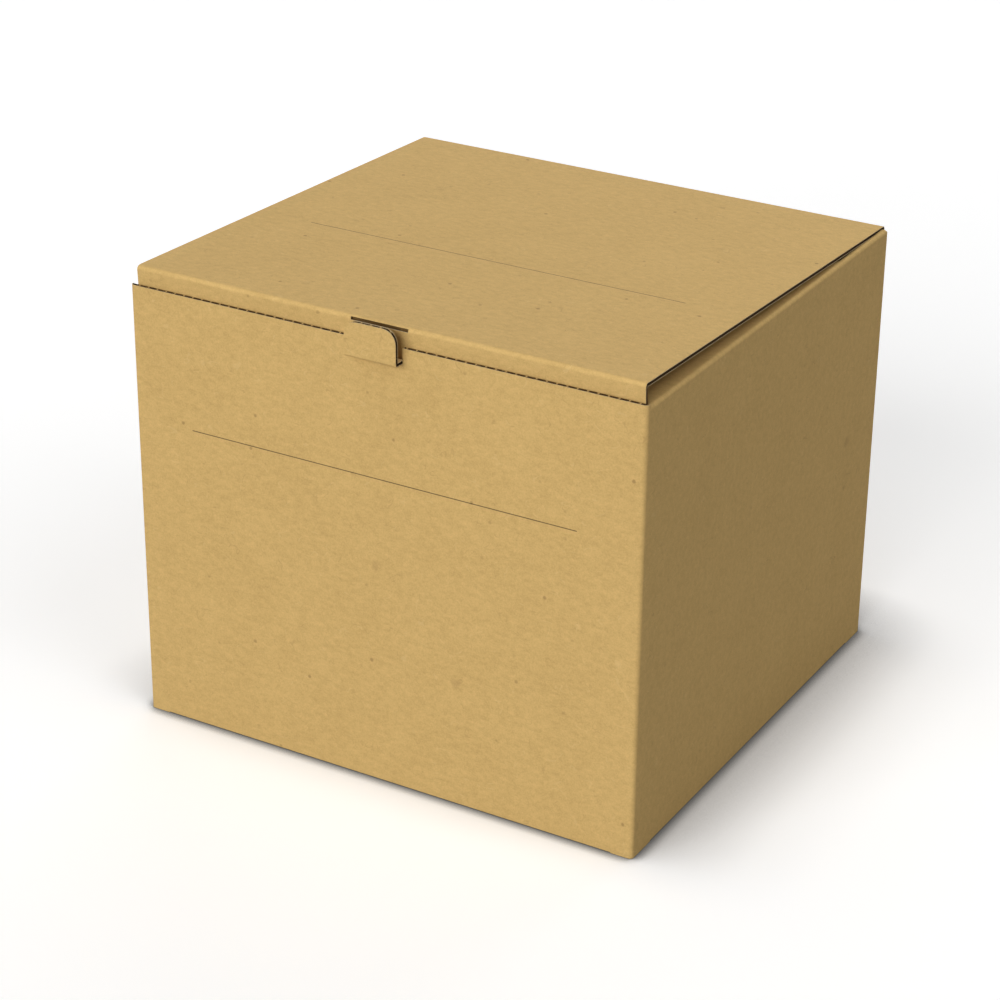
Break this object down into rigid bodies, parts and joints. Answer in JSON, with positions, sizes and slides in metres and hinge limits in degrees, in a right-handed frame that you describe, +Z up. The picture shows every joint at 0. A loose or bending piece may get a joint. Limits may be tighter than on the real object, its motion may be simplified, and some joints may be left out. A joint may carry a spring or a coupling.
{
  "type": "tuck-top shipping carton",
  "caption": "Folded kraft carton of fluted board with a hinged tuck-in lid, dust flaps, a creased lock tab on the front wall and an interlocked base.",
  "frame": {"origin": "middle of the base, on the surface that the carton stands on", "axes": "+Z up, -Y towards the front wall with the lock tab, +X to the right seen from the front"},
  "size_m": [0.18, 0.1757, 0.1565],
  "materials": {
    "kraft_board": "matte",
    "dried_glue": "satin"
  },
  "bodies": {
    "carton": {"front_panel": "kraft_board", "back_panel": "kraft_board", "right_panel": "kraft_board", "left_panel": "kraft_board", "glue_flap": "kraft_board", "seam_glue": "dried_glue", "bottom_front_flap": "kraft_board", "bottom_back_flap": "kraft_board", "bottom_left_flap": "kraft_board", "bottom_right_flap": "kraft_board"},
    "lid": {"lid_panel": "kraft_board"},
    "tuck": {"tuck_flap": "kraft_board"},
    "left_dust": {"left_dust_flap": "kraft_board"},
    "right_dust": {"right_dust_flap": "kraft_board"},
    "tab_root": {"tab_strip": "kraft_board"},
    "tab": {"lock_tab": "kraft_board"}
  },
  "joints": [
    {"name": "lid_hinge", "type": "hinge", "parent": "carton", "child": "lid", "pos_m": [0, 0.086, 0.15], "axis": [-1, 0, 0], "range_deg": [-1.2, 115]},
    {"name": "tuck_fold", "type": "hinge", "parent": "lid", "child": "tuck", "pos_m": [0, -0.0844, 0.15595], "axis": [-1, 0, 0], "range_deg": [-0.48, 46]},
    {"name": "left_dust_fold", "type": "hinge", "parent": "carton", "child": "left_dust", "pos_m": [-0.09, 0, 0.1493], "axis": [0, -1, 0], "range_deg": [-1.08, 103.5]},
    {"name": "right_dust_fold", "type": "hinge", "parent": "carton", "child": "right_dust", "pos_m": [0.09, 0, 0.1493], "axis": [0, 1, 0], "range_deg": [-1.08, 103.5]},
    {"name": "tab_crease", "type": "hinge", "parent": "carton", "child": "tab_root", "pos_m": [0, -0.086, 0.145], "axis": [1, 0, 0], "range_deg": [0, 80]},
    {"name": "tab_fold", "type": "hinge", "parent": "tab_root", "child": "tab", "pos_m": [0, -0.0897, 0.145], "axis": [1, 0, 0], "range_deg": [0, 85]}
  ],
  "couplings": [
    {"joint": "tuck_fold", "follows": "lid_hinge", "ratio": 0.4},
    {"joint": "left_dust_fold", "follows": "lid_hinge", "ratio": 0.9},
    {"joint": "right_dust_fold", "follows": "lid_hinge", "ratio": 0.9}
  ]
}
